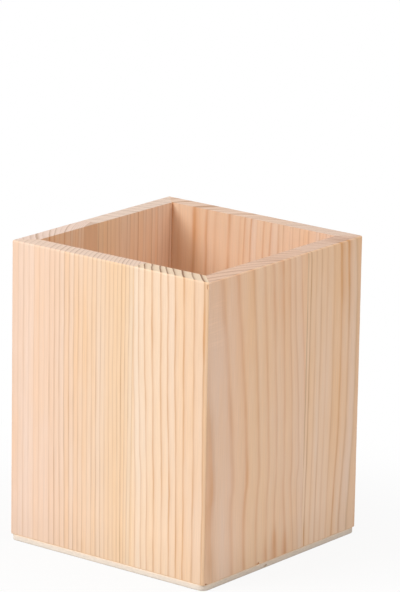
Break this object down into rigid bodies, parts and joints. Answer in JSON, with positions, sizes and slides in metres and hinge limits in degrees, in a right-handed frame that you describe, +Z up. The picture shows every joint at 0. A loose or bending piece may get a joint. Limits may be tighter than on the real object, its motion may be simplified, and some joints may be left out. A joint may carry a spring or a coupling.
{
  "type": "pen holder",
  "caption": "Square open-topped desk pen holder of mitred softwood boards with upright grain, each glued up from staves, on a thin flush base panel.",
  "frame": {"origin": "middle of the underside of the base panel", "axes": "+Z up to the rim, +X to the right, -Y out of the front board"},
  "size_m": [0.08, 0.08, 0.1],
  "materials": {
    "pine_stave": "sanded, unvarnished",
    "base_plywood": "sanded, unvarnished",
    "wood_glue": "cured",
    "pin_steel": "bright drawn wire"
  },
  "bodies": {
    "root": {"front_board_left_stave": "pine_stave", "front_board_right_stave": "pine_stave", "right_board_left_stave": "pine_stave", "right_board_right_stave": "pine_stave", "back_board_left_stave": "pine_stave", "back_board_right_stave": "pine_stave", "left_board_left_stave": "pine_stave", "left_board_right_stave": "pine_stave", "front_board_seam_glue": "wood_glue", "right_board_seam_glue": "wood_glue", "back_board_seam_glue": "wood_glue", "left_board_seam_glue": "wood_glue", "front_right_mitre_glue": "wood_glue", "back_right_mitre_glue": "wood_glue", "back_left_mitre_glue": "wood_glue", "front_left_mitre_glue": "wood_glue", "base_glue_bed": "wood_glue", "base_panel": "base_plywood", "base_pins": "pin_steel"}
  },
  "joints": []
}
